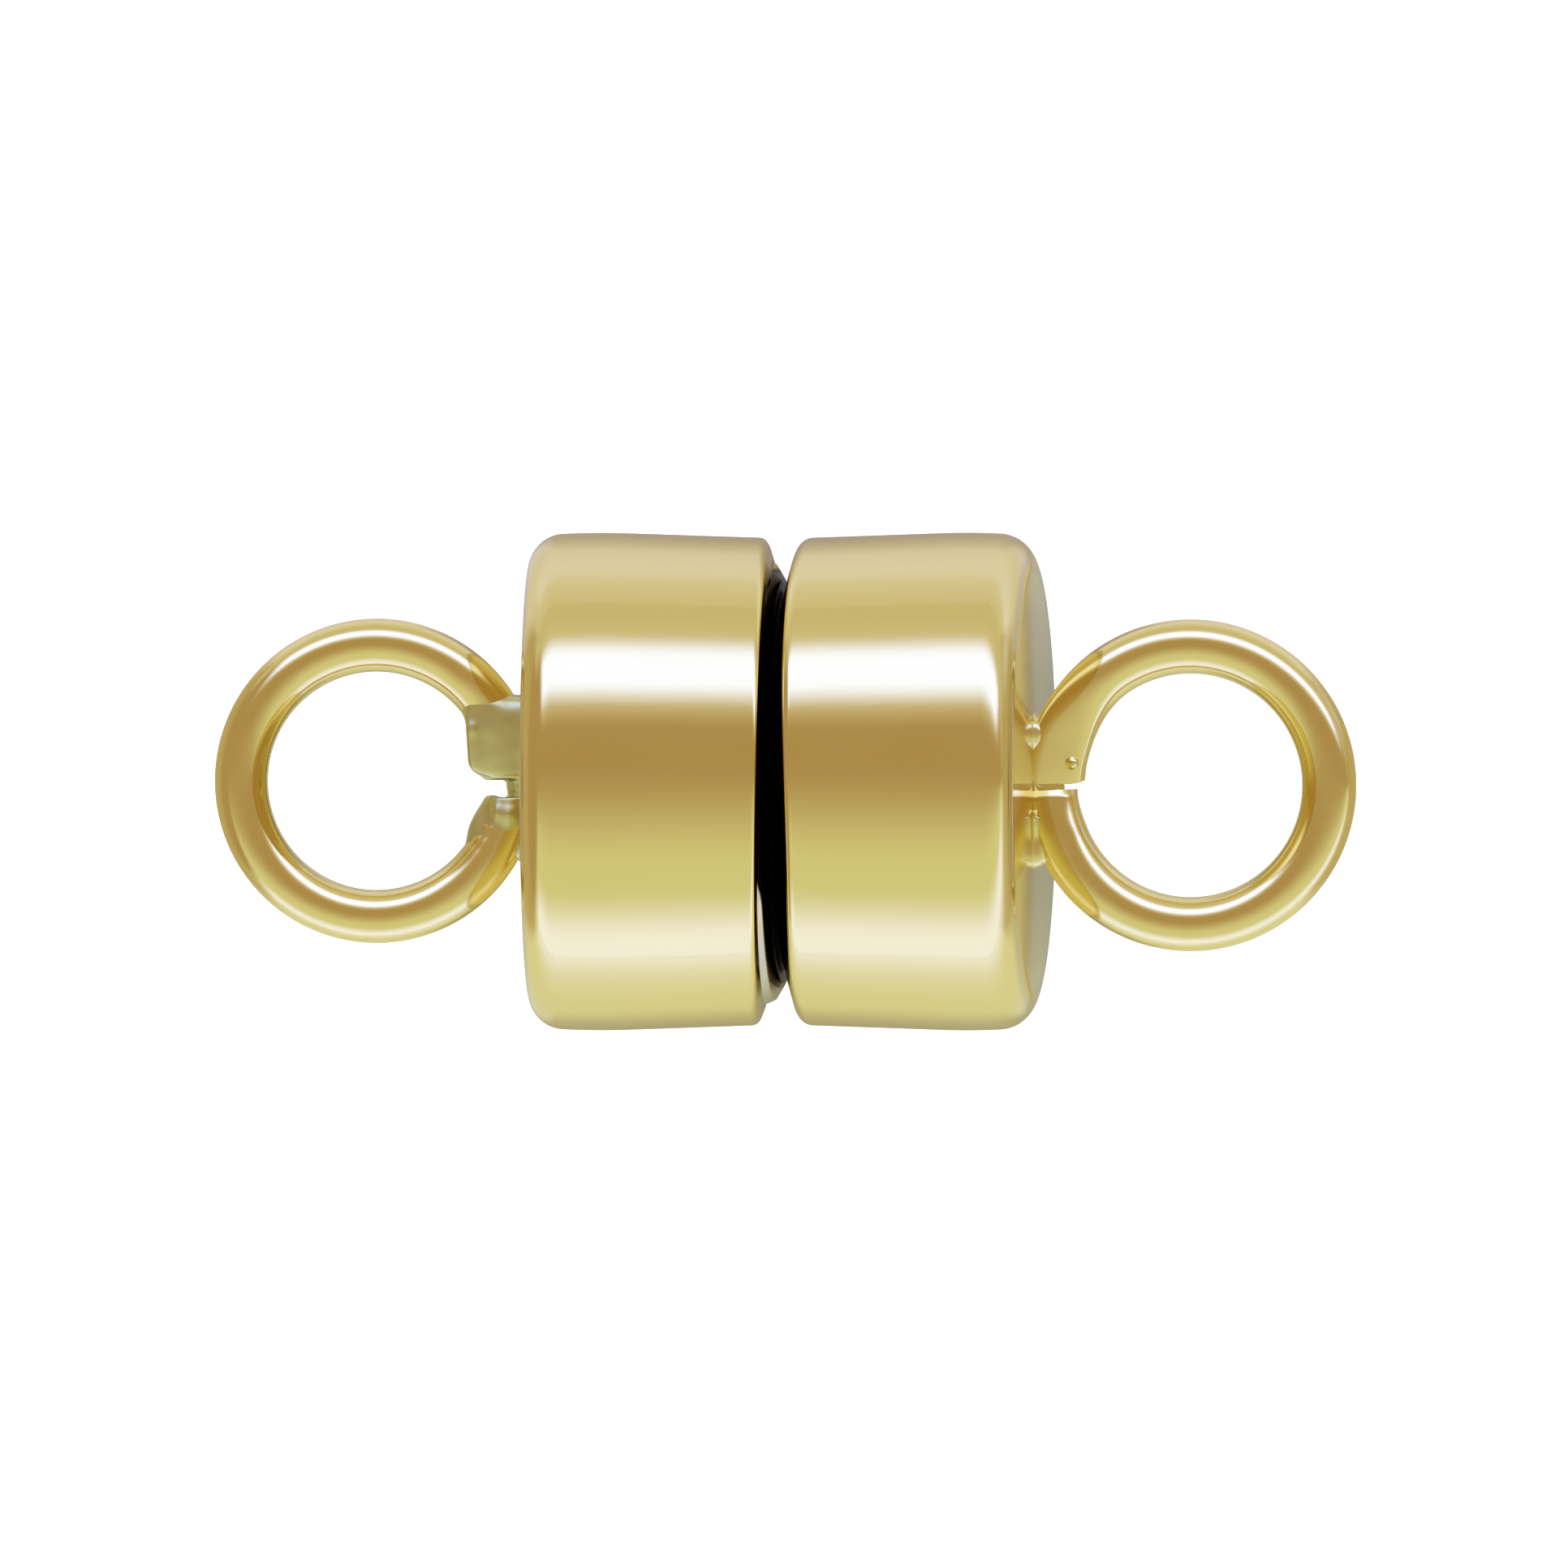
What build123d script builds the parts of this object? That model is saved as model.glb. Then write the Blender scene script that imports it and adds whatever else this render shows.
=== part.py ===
from build123d import *
import math
import os

os.makedirs("parts", exist_ok=True)

# Small barrel-shaped magnetic clasp for a necklace or bracelet, in millimetres.
# The clasp lies on its side on the floor, z = 0. X runs along the barrel and Z is up.
# The two magnets meet on the plane x = 0. A "reach" is a distance from that plane,
# measured towards the closed end of the cup on either side of it.

# Cups, drawn from thin sheet
barrel_radius = 2.25        # where the side is widest
widest_reach = 1.42
taper_angle = 1.95          # the side narrows from there to the mouth
shoulder_drop = 0.025       # the side comes in by this at the closed end, before rounding
corner_radius = 0.32        # between the side and the closed end
wall = 0.12                 # of the sheet, measured at the mouth
end_thickness = 0.2
left_end_reach = 2.323
right_end_reach = 2.268
seam_turn = 3.75            # keeps the seam of the round faces off the line that a cup lies on

# Mouth of the left cup: an open edge, trimmed a little out of square
left_mouth_reach = 0.214
mouth_slant = 1.05
mouth_rounding = 0.06

# Mouth of the right cup: its edge is rolled in over the magnet
roll_reach = 0.165
roll_depth = 0.36           # from the barrel's widest down to the lip's edge
lip_edge = 0.05
roll_rounding = 0.12

# Magnets
face_gap = 0.02             # between the two magnet faces
glue_gap = 0.025            # between a magnet and its cup
left_bevel = 0.18           # of the edge that shows between the cups

# Jump rings, bent from wire, with their cut ends at the cup
wire_diameter = 0.49
left_ring_radius = 1.23     # of the wire's centre line
right_ring_radius = 1.257
ring_overlap = 0.087        # how far a ring's outer line would run into the cup
right_ring_drop = 0.034     # the right ring is soldered a little off the middle
cut_gap = 0.12

# Solder between a ring and its cup
solder_half_length = 0.75
solder_half_width = 0.27
solder_height = 0.14
solder_top_share = 0.72     # size of the solder at the ring, against its size at the cup
lump_length = 0.42          # the thick blob on one end of the left ring
lump_width = 0.56
lump_rounding = 0.08

# Each cup lies on its tapered side, so its own axis rises towards its closed end by the
# taper. The magnets pull flat together, level, and each cup leans on its magnet by as much.
lean = math.radians(taper_angle)
lean_reach = (left_end_reach - end_thickness) / 2    # where a cup's axis crosses the magnets' axis
wire_radius = wire_diameter / 2


def side_radius(reach):
    """Radius of a cup's tapered side."""
    return barrel_radius - math.tan(lean) * (widest_reach - reach)


axis_height = side_radius(lean_reach) * math.cos(lean)
bore_radius = side_radius(left_mouth_reach) - wall
shoulder_radius = barrel_radius - shoulder_drop
lip_radius = barrel_radius - roll_depth

# On top the rolled lip leans furthest forward, and lies lower against the magnets. It is
# placed so that it clears the other magnet's bevel there.
lip_lean = lip_radius * math.sin(lean)
lip_top = lip_radius - lean_reach * math.sin(lean)


def magnet_radius(end_reach):
    """Largest disc that still fits a cup that leans on it."""
    return bore_radius - glue_gap - (end_reach - end_thickness) / 2 * math.sin(lean)


def magnet_back(end_reach):
    """Reach of a magnet's back face, clear of the cup's leaning floor."""
    return end_reach - end_thickness - glue_gap - magnet_radius(end_reach) * math.sin(lean)


lip_reach = (lip_lean - face_gap / 2 + glue_gap
             - (lip_top - magnet_radius(left_end_reach) + left_bevel))
right_bevel = (lip_reach + lip_edge + lip_lean + glue_gap
               + magnet_radius(right_end_reach) - lip_radius - face_gap / 2)


def cup_plane(side):
    """Plane through a cup's own axis: x runs to the closed end, y is the radius on top."""
    outward = Vector(side * math.cos(lean), 0, math.sin(lean))
    crossing = Vector(side * lean_reach, 0, axis_height)
    return Plane(origin=crossing - outward * lean_reach, x_dir=outward, z_dir=(0, -side, 0))


def outline_plane(side):
    """Plane that a cup's outline is drawn in: its own plane, turned about its axis."""
    return cup_plane(side).rotated((seam_turn, 0, 0))


def cup_axis(side):
    """A cup's own axis."""
    plane = cup_plane(side)
    return Axis(plane.origin, plane.x_dir)


def ring_height(end_reach):
    """Height of the middle of a cup's closed end."""
    return axis_height + (end_reach - lean_reach) * math.sin(lean)


def ring_x(side, end_reach, ring_radius):
    """Place of a ring's centre along the barrel."""
    return side * (end_reach - ring_overlap + wire_radius + ring_radius)


def closed_end(mouth_reach, end_reach):
    """Half outline of a cup from the mouth round to the middle of its floor inside."""
    taper = Line((mouth_reach, side_radius(mouth_reach)), (widest_reach, barrel_radius))
    shoulder = TangentArc(taper @ 1, (end_reach, shoulder_radius), tangent=taper % 1)
    Polyline(
        shoulder @ 1,
        (end_reach, 0),
        (end_reach - end_thickness, 0),
        (end_reach - end_thickness, bore_radius),
    )


def shoulder_corner(vertices):
    """The outline's outer corner at the closed end."""
    return vertices.group_by(Axis.X)[-1].sort_by(Axis.Y)[-1]


def add_ring(side, end_reach, ring_radius, drop):
    """Open wire ring that lies level, with its cut ends towards the cup."""
    cut_angle = math.degrees(cut_gap / ring_radius)
    start = (180 if side > 0 else 0) + cut_angle / 2
    with BuildLine(Plane.XY.offset(ring_height(end_reach))) as bend:
        CenterArc((ring_x(side, end_reach, ring_radius), -drop), ring_radius, start, 360 - cut_angle)
    with BuildSketch(Plane(origin=bend.line @ 0, z_dir=bend.line % 0)) as section:
        Circle(wire_radius)
    sweep(section.sketch, path=bend.line)


def add_solder(side, end_reach, drop):
    """Low mound of solder on a cup's end, which the ring is bedded in."""
    outlines = []
    for rise, share in ((-end_thickness / 2, 1.0), (0.0, 1.0), (solder_height, solder_top_share)):
        base = Plane(
            origin=(side * (end_reach + rise), -drop, ring_height(end_reach)),
            x_dir=(0, 1, 0),
            z_dir=(side, 0, 0),
        )
        with BuildSketch(base) as outline:
            Ellipse(solder_half_length * share, solder_half_width * share)
        outlines.append(outline.sketch)
    loft(outlines, ruled=True)


# Left cup with its ring
left_plane = cup_plane(-1)
mouth_facing = left_plane.x_dir * -math.cos(math.radians(mouth_slant)) - Vector(
    0, math.sin(math.radians(mouth_slant)), 0
)
mouth_plane = Plane(
    origin=left_plane.origin + left_plane.x_dir * left_mouth_reach,
    z_dir=mouth_facing,
)
# The side is drawn past the mouth, so that the slanted trim meets it all round.
trim_reach = left_mouth_reach - 2 * barrel_radius * math.tan(math.radians(mouth_slant))

with BuildPart() as left_looped_cup:
    with BuildSketch(outline_plane(-1)):
        with BuildLine():
            closed_end(trim_reach, left_end_reach)
            Polyline(
                (left_end_reach - end_thickness, bore_radius),
                (trim_reach, bore_radius),
                (trim_reach, side_radius(trim_reach)),
            )
        make_face()
        fillet(shoulder_corner(vertices()), corner_radius)
    revolve(axis=cup_axis(-1))
    split(bisect_by=mouth_plane, keep=Keep.BOTTOM)
    fillet(faces().sort_by(Axis.X)[-1].outer_wire().edges(), mouth_rounding)
    add_ring(-1, left_end_reach, left_ring_radius, 0)
    add_solder(-1, left_end_reach, 0)
    # The blob sits on the ring's upper cut end and thickens it inwards.
    lump_x = ring_overlap - left_end_reach - lump_width / 2
    lump_y = (cut_gap + lump_length) / 2
    with BuildSketch(Plane(origin=(lump_x, lump_y, ring_height(left_end_reach)))):
        RectangleRounded(lump_width, lump_length, lump_rounding)
    extrude(amount=wire_radius, both=True)

left_looped_cup.part.label = "left_looped_cup"
export_step(left_looped_cup.part, "parts/left_looped_cup.step")

# Right cup with its ring
with BuildPart() as right_looped_cup:
    with BuildSketch(outline_plane(1)):
        with BuildLine():
            closed_end(roll_reach, right_end_reach)
            Polyline(
                (right_end_reach - end_thickness, bore_radius),
                (lip_reach + lip_edge + bore_radius - lip_radius, bore_radius),
                (lip_reach + lip_edge, lip_radius),
                (lip_reach, lip_radius),
                (roll_reach, side_radius(roll_reach)),
            )
        make_face()
        fillet(shoulder_corner(vertices()), corner_radius)
        rolled_corner = vertices().sort_by_distance((roll_reach, side_radius(roll_reach), 0))[0]
        fillet(rolled_corner, roll_rounding)
    revolve(axis=cup_axis(1))
    add_ring(1, right_end_reach, right_ring_radius, right_ring_drop)
    add_solder(1, right_end_reach, right_ring_drop)

right_looped_cup.part.label = "right_looped_cup"
export_step(right_looped_cup.part, "parts/right_looped_cup.step")

# Magnets: level discs on one axis, with a bevel where the two faces meet
with BuildPart() as left_magnet:
    with BuildSketch(Plane(origin=(-face_gap / 2, 0, axis_height), z_dir=(-1, 0, 0))):
        Circle(magnet_radius(left_end_reach))
    extrude(amount=magnet_back(left_end_reach) - face_gap / 2)
    chamfer(faces().sort_by(Axis.X)[-1].edges(), left_bevel)

left_magnet.part.label = "left_magnet"
export_step(left_magnet.part, "parts/left_magnet.step")

with BuildPart() as right_magnet:
    with BuildSketch(Plane(origin=(face_gap / 2, 0, axis_height), z_dir=(1, 0, 0))):
        Circle(magnet_radius(right_end_reach))
    extrude(amount=magnet_back(right_end_reach) - face_gap / 2)
    chamfer(faces().sort_by(Axis.X)[0].edges(), right_bevel)

right_magnet.part.label = "right_magnet"
export_step(right_magnet.part, "parts/right_magnet.step")
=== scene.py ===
import bpy
import bmesh
import math
import numpy as np
from mathutils import Matrix, Vector, noise


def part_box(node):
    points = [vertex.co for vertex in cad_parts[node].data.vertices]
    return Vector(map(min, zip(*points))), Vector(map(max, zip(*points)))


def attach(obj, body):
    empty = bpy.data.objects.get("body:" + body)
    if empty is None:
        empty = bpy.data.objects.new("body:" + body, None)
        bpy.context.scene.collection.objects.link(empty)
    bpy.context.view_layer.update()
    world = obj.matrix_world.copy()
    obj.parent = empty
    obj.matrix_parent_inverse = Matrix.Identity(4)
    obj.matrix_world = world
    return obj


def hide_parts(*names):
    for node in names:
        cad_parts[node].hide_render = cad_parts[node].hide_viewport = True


# Looks of a small barrel-shaped magnetic clasp. It lies on its side on the floor, X along the barrel.
# Shapes are worked out in millimetres, and are made metres when a piece is finished.
# A "reach" is a distance from the plane x = 0, where the magnets meet, towards a cup's closed end.
# A "turn" is an angle round the barrel, from straight up towards the far side, +Y.

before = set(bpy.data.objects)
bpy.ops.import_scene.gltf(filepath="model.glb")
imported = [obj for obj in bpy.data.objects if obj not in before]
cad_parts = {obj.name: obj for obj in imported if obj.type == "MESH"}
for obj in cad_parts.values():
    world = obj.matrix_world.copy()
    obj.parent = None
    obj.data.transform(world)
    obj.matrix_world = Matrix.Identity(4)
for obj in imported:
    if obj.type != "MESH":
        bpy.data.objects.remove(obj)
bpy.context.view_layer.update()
mm = 0.001


def nodeBox(node):
    low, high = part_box(node)
    return low / mm, high / mm


magnetLow, magnetHigh = nodeBox("left_magnet")
axisHeight = (magnetLow.z + magnetHigh.z) / 2

barrel = {
    "radius": 2.25,  # where the side is widest
    "widestReach": 1.42,
    "taper": math.radians(1.95),  # the side narrows from there to the mouth
    "lean": math.radians(1.95),  # a cup's axis rises towards its closed end by as much
    "leanReach": 1.0615,  # where it crosses the axis of the magnets
    "shoulderDrop": 0.025,
    "cornerRadius": 0.32,  # between the side and the closed end
    "wall": 0.12,
    "endThickness": 0.2,
    "around": 320,  # faces round the barrel
}

# Shapes that several pieces share


def fadeIn(value, low, high):  # a number or an array, smoothly from 0 at low to 1 at high
    share = np.clip((value - low) / (high - low), 0, 1)
    return share * share * (3 - 2 * share)


def sideRadius(reach):
    return barrel["radius"] - math.tan(barrel["taper"]) * (barrel["widestReach"] - reach)


def cupPoint(side, reach, radius, turn):
    outward = Vector((side * math.cos(barrel["lean"]), 0, math.sin(barrel["lean"])))
    upward = Vector((-side * math.sin(barrel["lean"]), 0, math.cos(barrel["lean"])))
    crossing = Vector((side * barrel["leanReach"], 0, axisHeight))
    across = Vector((0, 1, 0))
    return (
        crossing
        + outward * (reach - barrel["leanReach"])
        + (upward * math.cos(turn) + across * math.sin(turn)) * radius
    )


def arcPoints(centre, radius, start, end, steps):
    angles = [start + (end - start) * k / steps for k in range(steps + 1)]
    return [(centre[0] + radius * math.cos(a), centre[1] + radius * math.sin(a)) for a in angles]


def roundCorner(before, corner, after, radius, steps):
    corner, before, after = Vector(corner), Vector(before), Vector(after)
    first, second = (before - corner).normalized(), (after - corner).normalized()
    half = first.angle(second) / 2
    reachBack = radius / math.tan(half)
    centre = corner + (first + second).normalized() * (radius / math.sin(half))
    start, end = corner + first * reachBack, corner + second * reachBack
    points = []
    swept = (start - centre).angle(end - centre)
    for k in range(steps + 1):
        ray = (start - centre) * (math.sin(swept * (1 - k / steps)) / math.sin(swept))
        ray += (end - centre) * (math.sin(swept * k / steps) / math.sin(swept))
        points.append(tuple(centre + ray))
    return points


# Half outline of a cup, from the middle of its closed end round the corner to where it is widest
def closedEndProfile(endReach):
    taper = barrel["taper"]
    start = Vector((barrel["widestReach"], barrel["radius"]))
    end = Vector((endReach, barrel["radius"] - barrel["shoulderDrop"]))
    inward = Vector((math.sin(taper), -math.cos(taper)))
    sweepRadius = (end - start).length_squared / (2 * (end - start).dot(inward))
    centre = start + inward * sweepRadius
    corner = barrel["cornerRadius"]
    cornerX = endReach - corner
    cornerY = centre.y + math.sqrt((sweepRadius - corner) ** 2 - (cornerX - centre.x) ** 2)
    cornerAngle = math.atan2(cornerY - centre.y, cornerX - centre.x)
    points = [(endReach, 0.0)]
    points += [(endReach, cornerY * share) for share in (0.12, 0.3, 0.5, 0.7, 0.85, 0.95)]
    points += arcPoints((cornerX, cornerY), corner, 0, cornerAngle, 18)
    points += arcPoints(centre, sweepRadius, cornerAngle, math.pi / 2 + taper, 16)[1:]
    return points


def makePiece(name, material, verts, faces, paintedShade=None):
    mesh = bpy.data.meshes.new(name)
    mesh.from_pydata([Vector(v) * mm for v in verts], [], faces)
    if paintedShade:
        mesh.attributes.new("paintedShade", "FLOAT", "POINT").data.foreach_set("value", paintedShade)
    body = bmesh.new()
    body.from_mesh(mesh)
    bmesh.ops.remove_doubles(body, verts=body.verts, dist=1e-8)
    bmesh.ops.recalc_face_normals(body, faces=body.faces)
    body.to_mesh(mesh)
    body.free()
    for face in mesh.polygons:
        face.use_smooth = True
    mesh.materials.append(material)
    piece = bpy.data.objects.new(name, mesh)
    bpy.context.scene.collection.objects.link(piece)
    return piece


# Turns an outline round the barrel. place gives a point's place, and shade how much painted shade it has.
def revolved(profile, place, shade=None):
    verts, faces, shades, rows = [], [], [], []
    around = barrel["around"]
    for reach, radius in profile:
        row = []
        for k in range(1 if radius < 1e-6 else around):
            turn = 2 * math.pi * k / around
            row.append(len(verts))
            verts.append(place(reach, radius, turn))
            if shade:
                shades.append(shade(reach, radius, turn))
        rows.append(row)
    for inner, outer in zip(rows, rows[1:]):
        for k in range(around):
            corners = [
                inner[k % len(inner)],
                inner[(k + 1) % len(inner)],
                outer[(k + 1) % len(outer)],
                outer[k % len(outer)],
            ]
            faces.append(list(dict.fromkeys(corners)))
    return verts, faces, shades


# Materials. Patterns read a point's place in millimetres, so a Scale is so many per millimetre.


def linearColour(hexColour):
    parts = [int(hexColour[k : k + 2], 16) / 255 for k in (1, 3, 5)]
    linear = [c / 12.92 if c <= 0.04045 else ((c + 0.055) / 1.055) ** 2.4 for c in parts]
    return (*linear, 1.0)


def addNode(tree, kind, settings=None, inputs=None):
    node = tree.nodes.new(kind)
    for key, value in (settings or {}).items():
        setattr(node, key, value)
    for key, value in (inputs or {}).items():
        if isinstance(value, bpy.types.NodeSocket):
            tree.links.new(value, node.inputs[key])
        else:
            node.inputs[key].default_value = value
    return node


def newMaterial(name):
    material = bpy.data.materials.new(name)
    material.use_nodes = True
    tree = material.node_tree
    tree.nodes.clear()
    metres = addNode(tree, "ShaderNodeTexCoord").outputs["Object"]
    place = addNode(tree, "ShaderNodeVectorMath", {"operation": "SCALE"}, {0: metres, "Scale": 1 / mm})
    return material, tree, place.outputs[0]


# Adds one share to found for each row: its name, how it is worked out, and from what. A STEP rises
# smoothly from 0 at its first number to 1 at its second, and the rest are plain sums.
def workOut(tree, found, rows):
    for name, operation, *values in rows:
        values = [found[value] if isinstance(value, str) else value for value in values]
        kind, settings, sockets = "ShaderNodeMath", {"operation": operation}, (0, 1)
        if operation == "STEP":
            kind, settings = "ShaderNodeMapRange", {"interpolation_type": "SMOOTHSTEP"}
            sockets = ("Value", "From Min", "From Max")
        found[name] = addNode(tree, kind, settings, dict(zip(sockets, values))).outputs[0]


# A surface whose colours lie one over the other, each by its own share
def layeredSurface(tree, base, layers, inputs):
    colour = linearColour(base)
    for share, tone in layers:
        laid = {"Factor": share, 6: colour, 7: linearColour(tone)}
        colour = addNode(tree, "ShaderNodeMix", {"data_type": "RGBA"}, laid).outputs[2]
    return addNode(tree, "ShaderNodeBsdfPrincipled", inputs={"Base Color": colour, **inputs})


# Gold-filled brass: brass with a skin of rolled gold, pressed into cups or drawn to wire, and polished.
# It gives the eye a pale yellow mirror, slightly clouded, with faint lines along the barrel.
def goldFilledBrass():
    material, tree, place = newMaterial("gold filled brass")
    # Clouds of deeper gold are about 1.1 mm across. The lines are 0.07 mm apart and 17 times as long.
    # Real ones are nearer 0.01 mm, too fine to show, so they are drawn coarser.
    cloud = addNode(tree, "ShaderNodeTexNoise", inputs={"Vector": place, "Scale": 0.9, "Detail": 3.0})
    along = addNode(tree, "ShaderNodeMapping", inputs={"Vector": place, "Scale": (0.06, 1.0, 1.0)})
    lines = addNode(
        tree,
        "ShaderNodeTexNoise",
        inputs={"Vector": along.outputs[0], "Scale": 14.0, "Detail": 2.0},
    ).outputs["Fac"]
    rough = addNode(tree, "ShaderNodeMapRange", inputs={"Value": lines, "To Min": 0.085, "To Max": 0.125})
    bump = addNode(
        tree,
        "ShaderNodeBump",
        inputs={"Strength": 0.06, "Distance": 0.004 * mm, "Height": lines},
    )
    # The dark brown layer is painted shade: in the seam's lips, and as a faint line round the closed
    # ends.
    paintedShade = addNode(tree, "ShaderNodeAttribute", {"attribute_name": "paintedShade"}).outputs["Fac"]
    metal = layeredSurface(
        tree,
        "#F1E097",
        [(cloud.outputs["Fac"], "#EFDD94"), (paintedShade, "#6B3F14")],
        {"Metallic": 1.0, "Roughness": rough.outputs[0], "Normal": bump.outputs[0]},
    )
    addNode(tree, "ShaderNodeOutputMaterial", inputs={"Surface": metal.outputs[0]})
    return material


nickelShares = (
    ("height", "SUBTRACT", "z", axisHeight),
    ("acrossSquared", "POWER", "y", 2.0),
    ("heightSquared", "POWER", "height", 2.0),
    ("outSquared", "ADD", "acrossSquared", "heightSquared"),
    ("out", "POWER", "outSquared", 0.5),
    # Painted shade: the groove is painted black, up to a bare strip along the back of the edge. On the
    # near side the strip starts further forward, at its tip it is the whole edge, and its border is a
    # little uneven.
    ("nearSide", "STEP", "y", -0.7, -1.2),
    ("nearForward", "MULTIPLY", "nearSide", 0.075),
    ("nearStart", "SUBTRACT", "nearForward", 0.16),
    ("nearTip", "STEP", "y", -1.80, -1.92),
    ("tipForward", "MULTIPLY", "nearTip", 0.08),
    ("stripStart", "ADD", "nearStart", "tipForward"),
    ("shift", "SUBTRACT", "shake", 0.5),
    ("uneven", "MULTIPLY", "shift", 0.02),
    ("shaken", "ADD", "x", "uneven"),
    ("pastStrip", "SUBTRACT", "shaken", "stripStart"),
    ("inGroove", "STEP", "pastStrip", -0.01, 0.012),
    ("shortOfTip", "STEP", "y", 1.95, 1.90),
    ("groove", "MULTIPLY", "inGroove", "shortOfTip"),
    ("ring", "STEP", "out", 1.66, 1.72),
    ("grooveShadeArea", "MULTIPLY", "groove", "ring"),
    # The painted shade is left off the thin rim where the two faces meet, more on the near side, so the
    # rim shows as dull metal.
    ("fromFace", "ABSOLUTE", "x"),
    ("nearFace", "STEP", "fromFace", 0.03, 0.014),
    ("atEdge", "STEP", "out", 1.80, 1.84),
    ("rim", "MULTIPLY", "nearFace", "atEdge"),
    ("rimSide", "STEP", "y", -0.9, -1.8),
    ("rimMore", "MULTIPLY", "rimSide", 0.5),
    ("rimBareBy", "ADD", 0.16, "rimMore"),
    ("rimBare", "MULTIPLY", "rim", "rimBareBy"),
    ("rimShaded", "SUBTRACT", 1.0, "rimBare"),
    ("grooveShade", "MULTIPLY", "grooveShadeArea", "rimShaded"),
    # The bare strip is yellowed at its top. On the far side's tip the edge is painted pale gold and
    # rougher, a painted gold reflection.
    ("stripTop", "STEP", "y", -1.6, -1.3),
    ("stripBack", "STEP", "x", -0.04, -0.06),
    ("yellowed", "MULTIPLY", "stripTop", "stripBack"),
    ("farTip", "STEP", "y", 1.88, 1.93),
    ("farBack", "STEP", "x", -0.012, -0.03),
    ("paintedGoldSheen", "MULTIPLY", "farTip", "farBack"),
    ("onFace", "STEP", "out", 1.80, 1.70),  # the faces that meet are warmer than the washed edge
)


# Nickel plate, laid bright on the sintered magnet by electroplating. It gives the eye a grey mirror
# with a fine speck, gone warm with age, painted black as shade in the groove, and painted pale gold as a
# reflection at the far tip of the edge.
def nickelPlate():
    material, tree, place = newMaterial("bright nickel plate")
    # The speck is 0.11 mm across, and the unevenness of the painted shade's border 0.2 mm long.
    speck = addNode(tree, "ShaderNodeTexNoise", inputs={"Vector": place, "Scale": 9.0, "Detail": 4.0})
    shake = addNode(tree, "ShaderNodeTexNoise", inputs={"Vector": place, "Scale": 5.0, "Detail": 3.0})
    split = addNode(tree, "ShaderNodeSeparateXYZ", inputs={"Vector": place})
    found = {**dict(zip("xyz", split.outputs)), "shake": shake.outputs["Fac"]}
    workOut(tree, found, nickelShares)
    grain = addNode(
        tree,
        "ShaderNodeMapRange",
        inputs={"Value": speck.outputs["Fac"], "To Min": 0.16, "To Max": 0.30},
    )
    rough = addNode(
        tree,
        "ShaderNodeMapRange",
        inputs={"Value": found["paintedGoldSheen"], "To Min": grain.outputs[0], "To Max": 0.5},
    )
    # The black layer is painted shade in the groove, and the pale gold layer is a painted reflection on
    # the far tip.
    layers = {"yellowed": "#DCC890", "onFace": "#DAD2B2", "paintedGoldSheen": "#FFE9A0", "grooveShade": "#0B0805"}
    metal = layeredSurface(
        tree,
        "#DCD8C8",
        [(found[share], tone) for share, tone in layers.items()],
        {"Metallic": 1.0, "Roughness": rough.outputs[0]},
    )
    addNode(tree, "ShaderNodeOutputMaterial", inputs={"Surface": metal.outputs[0]})
    return material


# Silver solder, melted with a torch and left as it cooled. It gives the eye a pale, duller metal in
# soft patches 0.3 mm across, with a dimpled skin. Where it ran into the gold it is yellow and brighter.
def silverSolder(name, pale, dark, roughLow, roughHigh):
    material, tree, place = newMaterial(name)
    patch = addNode(
        tree,
        "ShaderNodeTexNoise",
        inputs={"Vector": place, "Scale": 3.5, "Detail": 4.0},
    ).outputs["Fac"]
    rough = addNode(
        tree,
        "ShaderNodeMapRange",
        inputs={"Value": patch, "To Min": roughLow, "To Max": roughHigh},
    )
    bump = addNode(
        tree,
        "ShaderNodeBump",
        inputs={"Strength": 0.25, "Distance": 0.006 * mm, "Height": patch},
    )
    metal = layeredSurface(
        tree,
        pale,
        [(patch, dark)],
        {"Metallic": 1.0, "Roughness": rough.outputs[0], "Normal": bump.outputs[0]},
    )
    addNode(tree, "ShaderNodeOutputMaterial", inputs={"Surface": metal.outputs[0]})
    return material


goldMetal = goldFilledBrass()
nickelMetal = nickelPlate()
solderMetal = silverSolder("silver solder", "#E2DE9E", "#CFCA8A", 0.24, 0.4)
fluxGold = silverSolder("solder run into gold", "#F3E9A8", "#E2D080", 0.16, 0.26)
print("materials made")

# Cups

endLine = {
    "shade": 0.3,
    "fade": (0.012, 0.055),  # it is darkest on the flat end, and gone this far round the corner
    "inside": 0.98,  # it starts at this share of the flat end's radius
}

leftCupSizes = {
    "endReach": 2.323,
    "mouthReach": 0.214,
    "mouthSlant": math.radians(1.05),
    "slantFade": 0.7,  # the slant of the mouth is gone this far back
    "edgeRounding": 0.06,
    "topForward": 0.03,  # on top the mouth stands this much further forward
    "lipForward": 0.02,  # the lip's inner edge leans forward by this, and more on both sides
    "farForward": 0.065,
    "nearForward": 0.055,
    "lipDepth": 0.08,
    "lipRounding": 0.012,
    "farThick": 0.08,  # the sheet is this much thicker at the far side's lip
    "lipGap": 0.005,  # between the lip's inner edge and the magnet
    "unshadedLip": 0.1,  # depth of lip left bright, the rest is painted brown shade
    "shadeDepth": 0.1,
    "nearLighter": 0.8,  # the near side's painted shade is lighter by this share
    "nearSide": (0.35, 0.75),
}


def edgeShade(reach, radius, endReach):  # a faint line of painted brown shade round the edge of the closed end
    flatRadius = barrel["radius"] - barrel["shoulderDrop"] - barrel["cornerRadius"]
    onEdge = radius > endLine["inside"] * flatRadius
    return endLine["shade"] * onEdge * (1 - fadeIn(endReach - reach, *endLine["fade"]))


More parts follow.
